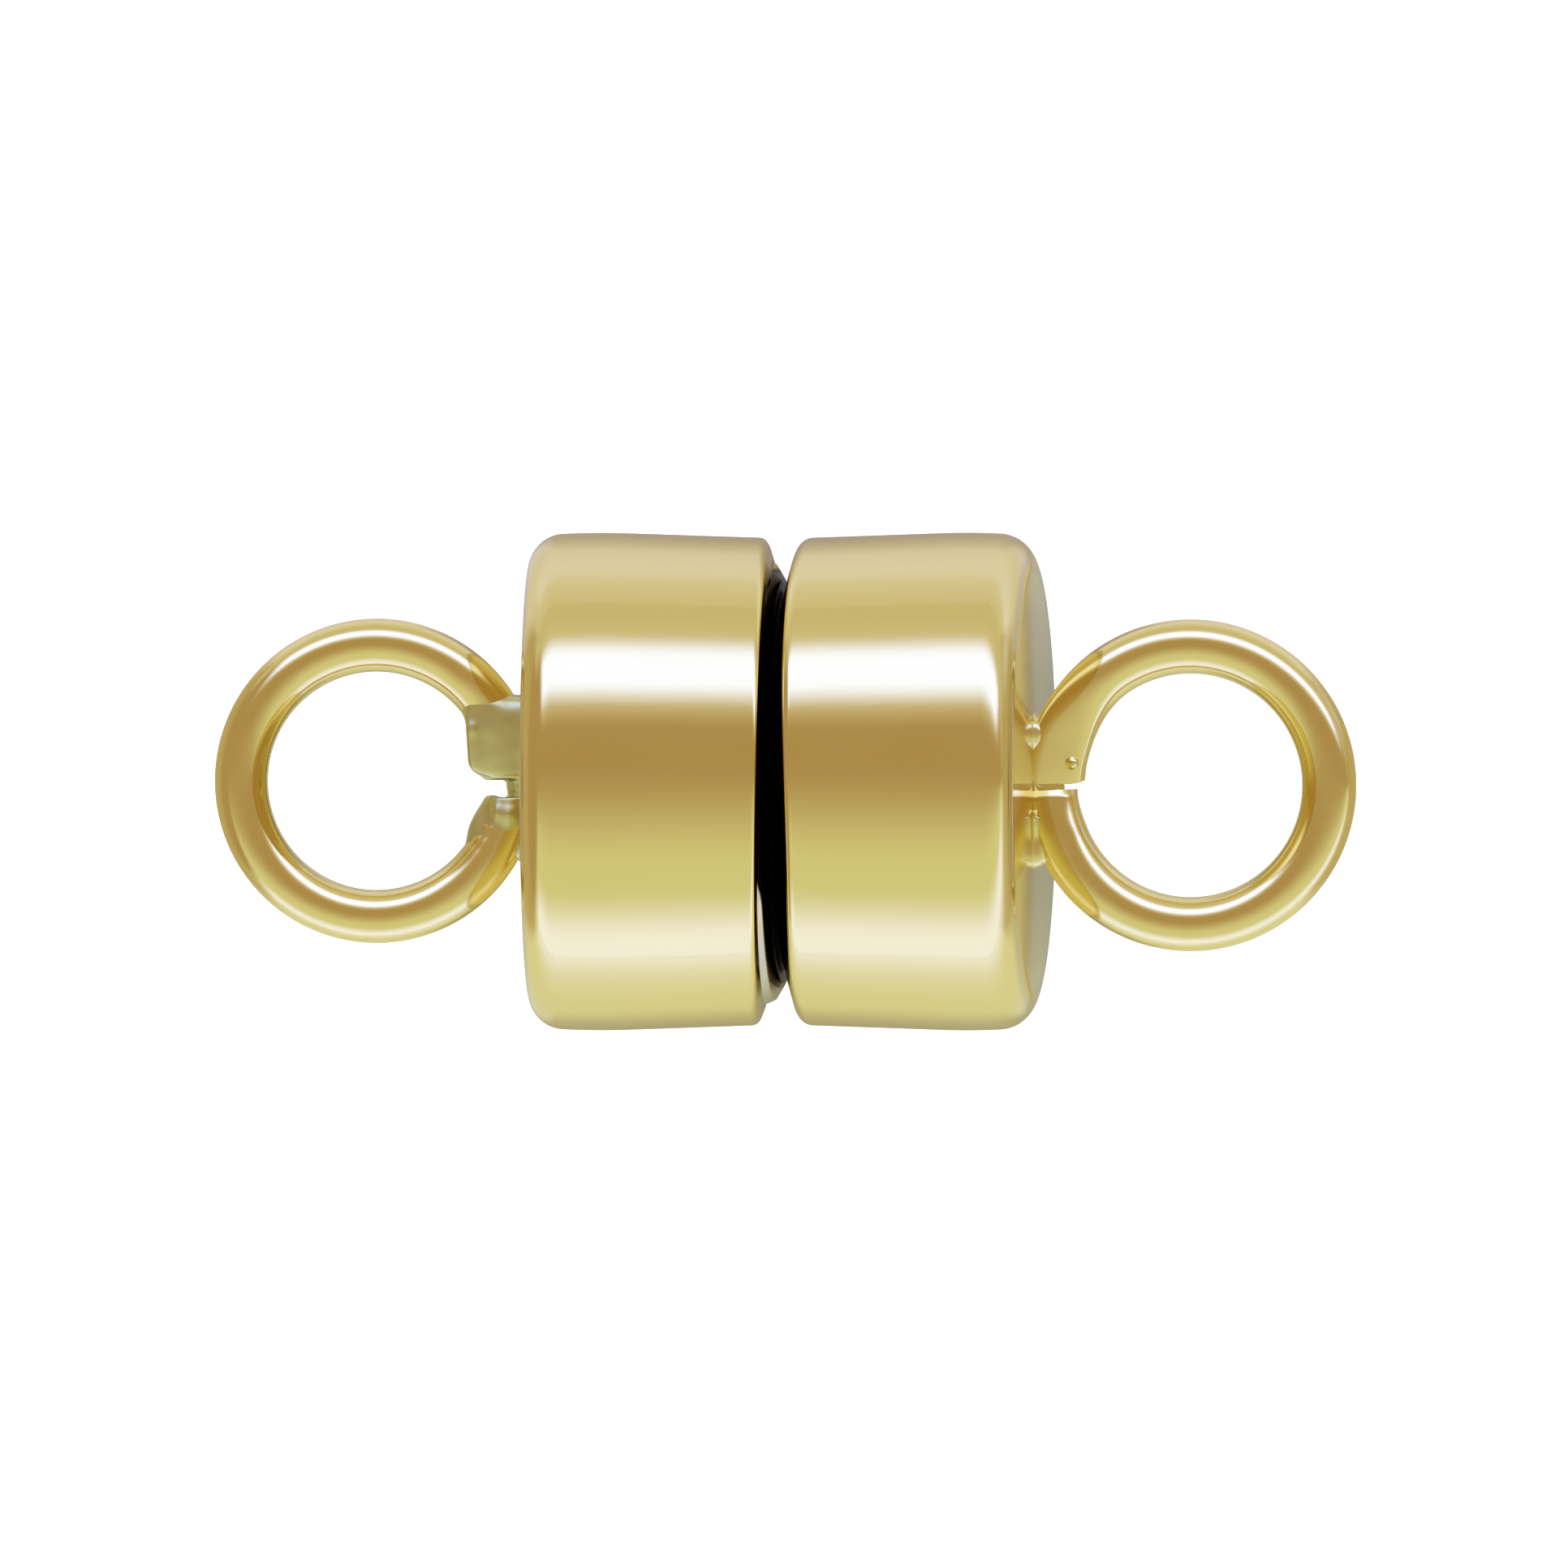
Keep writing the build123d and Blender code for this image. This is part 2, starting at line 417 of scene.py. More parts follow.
def buildLeftCup():
    sizes = leftCupSizes
    mouth = sizes["mouthReach"]
    outer = sideRadius(mouth)
    inner = outer - barrel["wall"]
    floorReach = sizes["endReach"] - barrel["endThickness"]
    lipTop = (mouth, outer)
    lipLow = (mouth - sizes["lipForward"], inner)
    lipBack = (mouth + sizes["edgeRounding"], inner)
    profile = closedEndProfile(sizes["endReach"])
    profile += [(reach, sideRadius(reach)) for reach in (1.2, 1.0, 0.8, 0.6, 0.5)]
    profile += roundCorner((0.8, sideRadius(0.8)), lipTop, lipLow, sizes["edgeRounding"], 9)
    for share in (0.7, 0.84):
        profile.append((mouth - sizes["lipForward"] * share, outer - barrel["wall"] * share))
    profile += roundCorner(lipTop, lipLow, lipBack, sizes["lipRounding"], 4)
    profile += [(reach, inner) for reach in (0.4, 0.8, 1.4, floorReach)]
    profile += [(floorReach, inner / 2), (floorReach, 0.0)]
    magnetRadius = (magnetHigh.z - magnetLow.z) / 2
    magnetRise = (barrel["leanReach"] - mouth) * math.sin(barrel["lean"])

    def place(reach, radius, turn):
        fade = max(0.0, 1 - (reach - mouth) / sizes["slantFade"])
        slanted = reach - radius * math.sin(turn) * math.tan(sizes["mouthSlant"]) * fade
        slanted -= sizes["topForward"] * max(0.0, math.cos(turn)) * fade
        if reach < mouth + sizes["lipDepth"] and radius < outer:
            inward = min(1.0, (outer - radius) / (outer - inner))
            farSide = max(0.0, math.sin(turn)) ** 3
            nearSide = max(0.0, -math.sin(turn)) ** 3
            onMagnet = magnetRadius + magnetRise * math.cos(turn) + sizes["lipGap"]
            radius -= (inner - onMagnet) * inward**2 + sizes["farThick"] * farSide * inward
            slanted -= sizes["farForward"] * farSide * inward
            slanted -= sizes["nearForward"] * nearSide * inward
        return cupPoint(-1, slanted, radius, turn)

    # The lip's inner part carries painted shade for the shade in the seam, lighter on the near side, and
    # the closed end's edge carries a painted line.
    def paintedShadeAt(reach, radius, turn):
        dark = 1 - sizes["nearLighter"] * fadeIn(-math.sin(turn), *sizes["nearSide"])
        inLip = reach < mouth + sizes["shadeDepth"] and radius < outer - sizes["unshadedLip"]
        return dark * inLip + edgeShade(reach, radius, sizes["endReach"])

    return makePiece("leftCup", goldMetal, *revolved(profile, place, paintedShadeAt))


rightCupSizes = {
    "endReach": 2.268,
    "rollReach": 0.165,
    "rollRounding": 0.12,
    "rollDepth": 0.36,  # from the barrel's widest down to the lip's edge
    "lipReach": 0.073,
    "lipEdge": 0.05,
    "lipRounding": 0.015,
    "unshadedLip": 0.05,
    "topBack": 0.07,  # on top the lip stands back by this
    "nearMore": 1.2,  # and by this share more towards the near side, less towards the far side
    "backFade": 0.6,  # the side is straight again this far behind the lip
}


def buildRightCup():
    sizes = rightCupSizes
    roll = (sizes["rollReach"], sideRadius(sizes["rollReach"]))
    lipRadius = barrel["radius"] - sizes["rollDepth"]
    lip = (sizes["lipReach"], lipRadius)
    lipBack = (sizes["lipReach"] + sizes["lipEdge"], lipRadius)
    inner = sideRadius(leftCupSizes["mouthReach"]) - barrel["wall"]
    bore = (lipBack[0] + inner - lipRadius, inner)
    floorReach = sizes["endReach"] - barrel["endThickness"]
    profile = closedEndProfile(sizes["endReach"])
    profile += [(reach, sideRadius(reach)) for reach in (1.2, 1.0, 0.8, 0.6, 0.45)]
    profile += roundCorner((0.8, sideRadius(0.8)), roll, lip, sizes["rollRounding"], 10)
    profile += roundCorner(roll, lip, lipBack, sizes["lipRounding"], 4)
    profile += roundCorner(lip, lipBack, bore, sizes["lipRounding"], 3)
    profile += [bore, (0.6, inner), (1.2, inner), (floorReach, inner)]
    profile += [(floorReach, inner / 2), (floorReach, 0.0)]

    def place(reach, radius, turn):
        fade = max(0.0, 1 - (reach - sizes["lipReach"]) / sizes["backFade"])
        back = sizes["topBack"] * max(0.0, math.cos(turn)) ** 3 * fade
        back *= 1 - sizes["nearMore"] * math.sin(turn)
        inward = max(0.0, (roll[1] - radius) / (roll[1] - lipRadius))  # stays clear of the magnet's bevel
        return cupPoint(1, reach + back, radius + back * inward, turn)

    # The lip's inner part carries full painted shade for the shade in the seam, and the closed end's edge
    # carries a painted line.
    def paintedShadeAt(reach, radius, turn):
        inLip = reach < sizes["rollReach"] and radius < lipRadius + sizes["unshadedLip"]
        return inLip + edgeShade(reach, radius, sizes["endReach"])

    return makePiece("rightCup", goldMetal, *revolved(profile, place, paintedShadeAt))


leftCup = buildLeftCup()
rightCup = buildRightCup()
print("cups made")

# Magnets

magnetSizes = {
    "left": {"side": -1, "bevel": 0.18, "knee": (0.08, 0.045)},  # steep up to the knee, then flatter
    "right": {"side": 1, "bevel": 0.3, "knee": (0.14, 0.15)},
    "edgeRounding": 0.06,
    "kneeRounding": 0.03,
    "backRounding": 0.05,
}


def buildMagnet(name, node, sizes):
    low, high = nodeBox(node)
    radius = (high.z - low.z) / 2
    face = min(abs(low.x), abs(high.x))
    back = max(abs(low.x), abs(high.x))
    rim = (face, radius - sizes["bevel"])
    knee = (face + sizes["knee"][0], radius - sizes["knee"][1])
    outer = (face + sizes["bevel"], radius)
    edge = magnetSizes["edgeRounding"]
    profile = [(face, radius * share) for share in (0.0, 0.3, 0.6, 0.8)]
    profile += roundCorner((face, 0.0), rim, knee, edge, 6)
    profile += roundCorner(rim, knee, outer, magnetSizes["kneeRounding"], 4)
    profile += roundCorner(knee, outer, (back, radius), edge, 6)
    profile += roundCorner(outer, (back, radius), (back, 0), magnetSizes["backRounding"], 5)
    profile += [(back, radius * 0.5), (back, 0.0)]

    def place(reach, ring, turn):
        return Vector((sizes["side"] * reach, ring * math.sin(turn), axisHeight + ring * math.cos(turn)))

    return makePiece(name, nickelMetal, *revolved(profile, place))


leftMagnet = buildMagnet("leftMagnet", "left_magnet", magnetSizes["left"])
rightMagnet = buildMagnet("rightMagnet", "right_magnet", magnetSizes["right"])
print("magnets made")

# Jump rings: Geometry Nodes sweep the wire round an open arc


def endHeight(endReach):  # of the middle of a cup's closed end
    return axisHeight + (endReach - barrel["leanReach"]) * math.sin(barrel["lean"])


rings = {
    "left": {
        "side": -1,
        "radius": 1.23,  # of the wire's centre line
        "wire": 0.2425,  # radius of the wire
        "centre": Vector((-3.711, 0.007, endHeight(leftCupSizes["endReach"]))),
        "gapFar": 2.0,  # degrees cut away at the cup, on the far and the near side of its middle
        "gapNear": 8.0,
    },
    "right": {
        "side": 1,
        "radius": 1.257,
        "wire": 0.2475,
        "centre": Vector((3.683, -0.034, endHeight(rightCupSizes["endReach"]))),
        "gapFar": 1.5,
        "gapNear": 2.0,
    },
    "steps": 360,
    "wireFaces": 40,
}


def wireRingTree():
    tree = bpy.data.node_groups.new("wire ring", "GeometryNodeTree")
    face = tree.interface
    face.new_socket("Geometry", in_out="OUTPUT", socket_type="NodeSocketGeometry")
    for label, kind in (
        ("Ring radius", "NodeSocketFloat"),
        ("Wire radius", "NodeSocketFloat"),
        ("Start angle", "NodeSocketFloat"),
        ("Sweep angle", "NodeSocketFloat"),
        ("Steps", "NodeSocketInt"),
        ("Wire faces", "NodeSocketInt"),
        ("Metal", "NodeSocketMaterial"),
    ):
        face.new_socket(label, in_out="INPUT", socket_type=kind)
    given = addNode(tree, "NodeGroupInput").outputs
    arc = addNode(
        tree,
        "GeometryNodeCurveArc",
        {"mode": "RADIUS"},
        {
            "Resolution": given["Steps"],
            "Radius": given["Ring radius"],
            "Start Angle": given["Start angle"],
            "Sweep Angle": given["Sweep angle"],
        },
    )
    section = addNode(
        tree,
        "GeometryNodeCurvePrimitiveCircle",
        {"mode": "RADIUS"},
        {"Resolution": given["Wire faces"], "Radius": given["Wire radius"]},
    )
    wire = addNode(
        tree,
        "GeometryNodeCurveToMesh",
        inputs={
            "Curve": arc.outputs["Curve"],
            "Profile Curve": section.outputs["Curve"],
            "Fill Caps": True,
        },
    )
    real = addNode(tree, "GeometryNodeRealizeInstances", inputs={"Geometry": wire.outputs["Mesh"]})
    metal = addNode(
        tree,
        "GeometryNodeSetMaterial",
        inputs={"Geometry": real.outputs["Geometry"], "Material": given["Metal"]},
    )
    addNode(tree, "NodeGroupOutput", inputs={"Geometry": metal.outputs["Geometry"]})
    return tree


ringTree = wireRingTree()


def buildRing(name, sizes):
    ring = bpy.data.objects.new(name, bpy.data.meshes.new(name + "Holder"))
    bpy.context.scene.collection.objects.link(ring)
    modifier = ring.modifiers.new("wire ring", "NODES")
    modifier.node_group = ringTree
    given = {
        "Ring radius": sizes["radius"],
        "Wire radius": sizes["wire"],
        "Start angle": math.radians(sizes["gapFar"] if sizes["side"] < 0 else 180 + sizes["gapNear"]),
        "Sweep angle": math.radians(360 - sizes["gapFar"] - sizes["gapNear"]),
        "Steps": rings["steps"],
        "Wire faces": rings["wireFaces"],
        "Metal": goldMetal,
    }
    for item in ringTree.interface.items_tree:
        if item.name in given:
            modifier[item.identifier] = given[item.name]
    graph = bpy.context.evaluated_depsgraph_get()
    mesh = bpy.data.meshes.new_from_object(ring.evaluated_get(graph))
    ring.modifiers.remove(modifier)
    holderMesh = ring.data
    ring.data = mesh
    bpy.data.meshes.remove(holderMesh)
    for vert in mesh.vertices:
        vert.co = (sizes["centre"] + vert.co) * mm
    for face in mesh.polygons:
        face.use_smooth = len(face.vertices) == 4  # the cut ends stay flat
    return ring


# An end's shape goes by the angle from the cup, in degrees, the place across the wire,
# outward from the ring's centre, and the height. Both places are shares of the wire's radius.

leftEnds = {
    "drownedOver": (26, 50),  # the far end flattens over these degrees, into a block of solder
    "drownedBy": 0.2,
    "dentedOver": (10, 40),  # the near end is dented on its inner side
    "dent": 0.2,
    "dentWave": 0.9,  # makes the dents 7 degrees apart
    "loweredBy": 0.08,
}
rightEnds = {
    "pressedOver": (16, 58),  # the far end was pressed flat, a little on the slant, and cut at an angle
    "flatHeight": 0.66,
    "slant": 0.13,
    "spread": 0.1,
    "thinFrom": 34,  # its top thins from this angle, over this many degrees
    "thinOver": 30,
    "thinBy": 0.3,
    "cutOver": (2, 14),
    "cutAngle": 5,
    "cutFrom": 0.3,
    "rubbedOver": (3, 22),  # the near end was rubbed down
    "rubbedOut": 0.06,
    "rubbedBy": 0.1,
    "burr": 0.12,  # its saw's burr too, over this many degrees from its cut
    "burrOver": 2.8,
}


def leftRingEnds(angle, out, up):
    if angle > 0:
        near = 1 - fadeIn(angle, *leftEnds["drownedOver"])
        return angle, out, up * (1 - leftEnds["drownedBy"] * near)
    near = 1 - fadeIn(-angle, *leftEnds["dentedOver"])
    wave = 0.6 + 0.4 * math.sin(angle * leftEnds["dentWave"])
    dent = leftEnds["dent"] * near * max(0.0, -out) * wave
    return angle, out + dent, up * (1 - leftEnds["loweredBy"] * near)


def rightRingEnds(angle, out, up):
    if angle > 0:
        near = 1 - fadeIn(angle, *rightEnds["pressedOver"])
        tip = 1 - fadeIn(angle, *rightEnds["cutOver"])
        flat = up
        if up > 0:
            flat = rightEnds["flatHeight"] * max(0.0, 1 - abs(out) ** 4) ** 0.25
            thin = max(0.0, (rightEnds["thinFrom"] - angle) / rightEnds["thinOver"])
            flat -= rightEnds["thinBy"] * thin**2
        upward = up + (flat - up) * near + rightEnds["slant"] * near * out
        cut = rightEnds["cutAngle"] * max(0.0, -out - rightEnds["cutFrom"]) ** 2 - 1
        spread = rightEnds["spread"] * near
        return angle + tip * cut, out * (1 + spread) - spread, upward
    near = 1 - fadeIn(-angle, *rightEnds["rubbedOver"])
    fromCut = (angle + rings["right"]["gapNear"]) / rightEnds["burrOver"]
    burr = rightEnds["burr"] * max(0.0, 1 + fromCut) if up > 0 else 0.0
    return angle, out + rightEnds["rubbedOut"] * near, up * (1 - rightEnds["rubbedBy"] * near) - burr


def shapeEnds(ring, sizes, rule):
    for vert in ring.data.vertices:
        local = vert.co / mm - sizes["centre"]
        angle = math.degrees(math.atan2(local.y, -sizes["side"] * local.x))
        out = (math.hypot(local.x, local.y) - sizes["radius"]) / sizes["wire"]
        angle, out, up = rule(angle, out, local.z / sizes["wire"])
        reach = sizes["radius"] + out * sizes["wire"]
        along, across = reach * math.cos(math.radians(angle)), reach * math.sin(math.radians(angle))
        vert.co = (sizes["centre"] + Vector((-sizes["side"] * along, across, up * sizes["wire"]))) * mm


leftRing = buildRing("leftRing", rings["left"])
shapeEnds(leftRing, rings["left"], leftRingEnds)
rightRing = buildRing("rightRing", rings["right"])
shapeEnds(rightRing, rings["right"], rightRingEnds)
print("rings made")

# Solder: it runs between the wire, the cup's end and a few lumps, and its skin is found on a fine grid.
# Places are from the ring's centre: toward the cup, across, and up.

solder = {
    "cell": 0.0145,  # of the grid
    "ease": 0.05,  # how softly a lump melts into the rest, if the lump doesn't say
    "under": 0.014,  # the skin lies this far inside the wire and the cup, so they show past the solder
    "sink": 0.07,  # and this much further inside the wire towards both sides, where the solder ends
    "sinkOver": (0.35, 0.05),
    "pressedOver": (16, 62),  # the wire's far end flattens over these degrees from the cup
    "intoCup": 0.1,
    "halfHeight": 0.4,
    "margin": 0.05,
    "ripple": 0.006,  # height of its uneven skin
    "rippleScale": 7,
    "calming": 5,
    "blockCorner": 0.15,  # rounding of a block seen from above, and of its top edge
    "blockEdge": 0.045,
    "crownAt": 0.08,  # a block's top is highest here, and falls more steeply beyond
    "crownFar": 3.5,
}
leftSolderSizes = {
    "cupEnd": 1.3887,
    "halfWidth": 1.0,
    "from": 0.74,
    "easing": 0.12,  # how softly the wire melts into the cup
    "pressed": 0.2,  # the wire's far end is flatter by this share
    "thinBy": 0.0,
    "gapFar": 0.02,  # the cut between the ring's ends
    "gapNear": -0.15,
    "gapSlant": 0.0,
    "lumps": [
        {
            "kind": "block",
            "at": (1.13, 0.40, -0.01),
            "size": (0.60, 0.70, 0.45),
            "turn": 3,
            "crown": 0.3,
            "ease": 0.1,
        },
        {"kind": "drop", "at": (1.30, 0.62, 0.0), "size": (0.30, 0.30, 0.34)},
        {"kind": "drop", "at": (1.34, -0.05, -0.02), "size": (0.32, 0.32, 0.34)},
        {"kind": "drop", "at": (1.22, -0.30, 0.09), "size": (0.20, 0.24, 0.34)},
        {"kind": "drop", "at": (1.11, -0.28, 0.13), "size": (0.10, 0.16, 0.22)},
        {"kind": "drop", "at": (0.95, -0.36, 0.0), "size": (0.16, 0.48, 0.26), "turn": -27},
        {"kind": "drop", "at": (1.35, -0.62, 0.0), "size": (0.18, 0.26, 0.30)},
        {"kind": "drop", "at": (0.89, 0.47, 0.17), "size": (0.07, 0.09, 0.10)},
    ],
}
rightSolderSizes = {
    "cupEnd": 1.4155,
    "halfWidth": 1.05,
    "from": 0.98,
    "easing": 0.15,
    "pressed": 0.34,
    "thinBy": 0.3,
    "gapFar": 0.07,
    "gapNear": -0.30,
    "gapSlant": 0.03,
    "lumps": [
        {"kind": "drop", "at": (1.395, 0.47, 0.1), "size": (0.14, 0.24, 0.16)},
        {"kind": "drop", "at": (1.385, -0.61, 0.08), "size": (0.15, 0.26, 0.16)},
        {"kind": "drop", "at": (1.32, -0.02, -0.04), "size": (0.36, 0.22, 0.24)},
        {"kind": "drop", "at": (1.063, 0.20, 0.08), "size": (0.12, 0.12, 0.11)},
    ],
}


def melt(first, second, ease):
    share = np.clip(0.5 + 0.5 * (second - first) / ease, 0, 1)
    return second * (1 - share) + first * share - ease * share * (1 - share)


def roundedDepth(over, rounding):  # over is how far a point is past each side of a box, less its rounding
    outside = np.hypot(*[np.maximum(o, 0) for o in over])
    return outside + np.minimum(np.maximum(*over), 0) - rounding


def lumpDepth(place, lump):
    toward, across, up = [p - a for p, a in zip(place, lump["at"])]
    turn = math.radians(lump.get("turn", 0.0))
    cosine, sine = math.cos(turn), math.sin(turn)
    toward, across = toward * cosine + across * sine, across * cosine - toward * sine
    half = [s / 2 for s in lump["size"]]
    if lump["kind"] == "drop":
        spread = np.sqrt((toward / half[0]) ** 2 + (across / half[1]) ** 2 + (up / half[2]) ** 2)
        return (spread - 1) * min(half)
    fromCrown = across - solder["crownAt"]
    up = up + lump["crown"] * fromCrown**2 * np.where(fromCrown > 0, solder["crownFar"], 1.0)
    corner, edge = solder["blockCorner"], solder["blockEdge"]
    plan = roundedDepth([np.abs(toward) - half[0] + corner, np.abs(across) - half[1] + corner], corner)
    return roundedDepth([plan + edge, np.abs(up) - half[2] + edge], edge)


# Makes a mesh of the surface where depth is 0: one point in each cell that the surface crosses, at the
# middle of its crossings with the cell's edges, and one face for each of those edges.
def skin(depth, low, high, cell):
    axes = [np.arange(a, b, cell) for a, b in zip(low, high)]
    values = depth(*np.meshgrid(*axes, indexing="ij"))
    inside = values < 0
    shape = [n - 1 for n in values.shape]
    total, hits = np.zeros((*shape, 3)), np.zeros(shape)
    index = np.moveaxis(np.indices(values.shape), 0, -1).astype(float)
    quads = []
    for axis in range(3):
        near = tuple(slice(0, -1) if k == axis else slice(None) for k in range(3))
        far = tuple(slice(1, None) if k == axis else slice(None) for k in range(3))
        crossed = inside[near] != inside[far]
        edges = np.argwhere(crossed)
        first, second = values[near][crossed], values[far][crossed]
        point = index[near][crossed]
        point[:, axis] += first / (first - second)
        others = [k for k in range(3) if k != axis]
        cells = []
        for stepA, stepB in ((0, 0), (-1, 0), (-1, -1), (0, -1)):
            cellAt = edges.copy()
            cellAt[:, others[0]] += stepA
            cellAt[:, others[1]] += stepB
            cells.append(cellAt)
            np.add.at(total, tuple(cellAt.T), point)
            np.add.at(hits, tuple(cellAt.T), 1)
        quads.append(np.stack(cells, axis=1))
    used = np.argwhere(hits > 0)
    number = np.full(shape, -1)
    number[tuple(used.T)] = np.arange(len(used))
    places = total[tuple(used.T)] / hits[tuple(used.T)][:, None] * cell + np.array(low)
    faces = [[int(number[tuple(corner)]) for corner in quad] for group in quads for quad in group]
    return [Vector(p) for p in places.tolist()], faces


def wireDepth(place, ring, sizes):
    toward, across, up = place
    angle = np.degrees(np.arctan2(across, toward))
    thin = np.clip((rightEnds["thinFrom"] - angle) / rightEnds["thinOver"], 0, 1) ** 2
    thinner = sizes["pressed"] * (1 - fadeIn(angle, *solder["pressedOver"])) + sizes["thinBy"] * thin
    pressed = 1 - thinner * (angle > 0) * (up > 0)
    fromLine = np.sqrt((np.hypot(toward, across) - ring["radius"]) ** 2 + (up / pressed) ** 2)
    out = (np.hypot(toward, across) - ring["radius"]) / ring["wire"]
    gap = np.minimum(sizes["gapFar"] - sizes["gapSlant"] * out - across, across - sizes["gapNear"])
    return np.maximum(fromLine - ring["wire"] + solder["under"], gap * (toward > 0))


def calm(piece, times):
    body = bmesh.new()
    body.from_mesh(piece.data)
    for _ in range(times):
        bmesh.ops.smooth_vert(
            body, verts=body.verts, factor=0.5, use_axis_x=True, use_axis_y=True, use_axis_z=True
        )
    body.to_mesh(piece.data)
    body.free()


def buildSolder(name, ring, sizes, material):
    halfWidth, cupEnd = sizes["halfWidth"], sizes["cupEnd"]

    def depth(toward, across, up):
        place = (toward, across, up)
        cup = cupEnd + math.tan(barrel["lean"]) * up - toward + solder["under"]
        sunk = solder["sink"] * fadeIn(np.abs(across), *[halfWidth - back for back in solder["sinkOver"]])
        metal = melt(wireDepth(place, ring, sizes) + sunk, cup, sizes["easing"])
        for lump in sizes["lumps"]:
            metal = melt(metal, lumpDepth(place, lump), lump.get("ease", solder["ease"]))
        keep = np.maximum(np.abs(across) - halfWidth, toward - cupEnd - solder["intoCup"])
        keep = np.maximum(keep, np.maximum(sizes["from"] - toward, np.abs(up) - solder["halfHeight"]))
        return np.maximum(metal, keep)

    margin = solder["margin"]
    top = solder["halfHeight"] + margin
    low = (sizes["from"] - margin, -halfWidth - margin, -top)
    high = (cupEnd + solder["intoCup"] + margin, halfWidth + margin, top)
    verts, faces = skin(depth, low, high, solder["cell"])
    placed = []
    for vert in verts:
        rise = solder["ripple"] * noise.noise(vert * solder["rippleScale"])
        placed.append(ring["centre"] + Vector((-ring["side"] * vert.x, vert.y, vert.z + rise)))
    piece = makePiece(name, material, placed, faces)
    calm(piece, solder["calming"])
    return piece


leftSolder = buildSolder("leftSolder", rings["left"], leftSolderSizes, solderMetal)
rightSolder = buildSolder("rightSolder", rings["right"], rightSolderSizes, fluxGold)
print("solder made", len(leftSolder.data.vertices), len(rightSolder.data.vertices))

# Floor

floorSizes = {"half": 1500, "seen": "#F4F4F4", "glow": 0.6, "roughness": 0.12, "ior": 1.6}

# What the metal sees in the sheet is painted light and shade: a painted greener light on the near side,
# painted shade past both ends, painted warm light beside the right end as if bounced from the gold, a
# painted grey shadow at its foot, and painted shade close round the clasp.
floorShares = (
    ("along", "ABSOLUTE", "x"),
    ("across", "ABSOLUTE", "y"),
    ("nearSide", "STEP", "y", 2.0, -2.0),
    ("beyond", "SUBTRACT", "along", "across"),
    ("pastEnds", "STEP", "beyond", 2.6, 5.0),
    ("fromEnd", "STEP", "x", 2.2, 2.25),
    ("toRing", "STEP", "x", 3.3, 3.0),
    ("endLength", "MULTIPLY", "fromEnd", "toRing"),
    ("endWidth", "STEP", "across", 2.4, 1.9),
    ("besideEnd", "MULTIPLY", "endLength", "endWidth"),
    ("foot", "STEP", "x", 2.66, 2.63),
    ("atFoot", "MULTIPLY", "besideEnd", "foot"),
    # A thin dark bow of painted shade, drawn only so that the right end shows a brown line along its edge
    ("acrossSquared", "POWER", "across", 2.0),
    ("bend", "MULTIPLY", "acrossSquared", 0.019),
    ("bent", "SUBTRACT", "x", "bend"),
    ("bowFrom", "STEP", "bent", 2.59, 2.61),
    ("bowTo", "STEP", "bent", 2.665, 2.645),
    ("line", "MULTIPLY", "bowFrom", "bowTo"),
    ("lineBeside", "MULTIPLY", "line", "besideEnd"),
    ("bow", "MULTIPLY", "lineBeside", 0.85),
    ("underLength", "STEP", "along", 3.2, 2.4),
    ("underWidth", "STEP", "across", 5.5, 2.7),
    ("under", "MULTIPLY", "underLength", "underWidth"),
    ("awayFromEnd", "SUBTRACT", 1.0, "besideEnd"),
    ("shadow", "MULTIPLY", "under", "awayFromEnd"),
    ("closeBy", "MULTIPLY", "shadow", 0.55),
)


# Cast acrylic sheet, opal white. It gives the eye an even white ground with no grain, and its gloss
# gives the metal something to mirror, toned by the painted light and shade listed above.
def floorMaterial():
    material, tree, place = newMaterial("white acrylic sheet")
    split = addNode(tree, "ShaderNodeSeparateXYZ", inputs={"Vector": place})
    found = dict(zip("xyz", split.outputs))
    workOut(tree, found, floorShares)
    # These layers are painted light and shade, seen only in the metal's reflections.
    layers = {
        "nearSide": "#DDE5D4",
        "pastEnds": "#BCB28A",
        "besideEnd": "#EDDF8F",
        "atFoot": "#C8CDBB",
        "bow": "#7A5A20",
        "closeBy": "#8A7646",
    }
    gloss = layeredSurface(
        tree,
        "#DBDCD8",
        [(found[share], tone) for share, tone in layers.items()],
        {"Roughness": floorSizes["roughness"], "IOR": floorSizes["ior"]},
    )
    matt = addNode(tree, "ShaderNodeBsdfDiffuse", inputs={"Color": linearColour(floorSizes["seen"])})
    glow = addNode(
        tree,
        "ShaderNodeEmission",
        inputs={"Color": (1, 1, 1, 1), "Strength": floorSizes["glow"]},
    )
    seen = addNode(tree, "ShaderNodeAddShader", inputs={0: matt.outputs[0], 1: glow.outputs[0]})
    eye = addNode(tree, "ShaderNodeLightPath").outputs["Is Camera Ray"]
    mixed = addNode(tree, "ShaderNodeMixShader", inputs={0: eye, 1: gloss.outputs[0], 2: seen.outputs[0]})
    addNode(tree, "ShaderNodeOutputMaterial", inputs={"Surface": mixed.outputs[0]})
    return material


def buildFloor():
    half = floorSizes["half"] * mm
    mesh = bpy.data.meshes.new("floor")
    corners = [(-half, -half, 0), (half, -half, 0), (half, half, 0), (-half, half, 0)]
    mesh.from_pydata(corners, [], [(0, 1, 2, 3)])
    mesh.materials.append(floorMaterial())
    sheet = bpy.data.objects.new("floor", mesh)
    bpy.context.scene.collection.objects.link(sheet)
    return sheet


floor = buildFloor()
print("floor made")

# Studio light: soft panels that run along the barrel. They rise and fall by their angle from straight
# up, in degrees, positive on the far side, and their ends fade by how far they are from the middle.
# Colours are linear strengths.

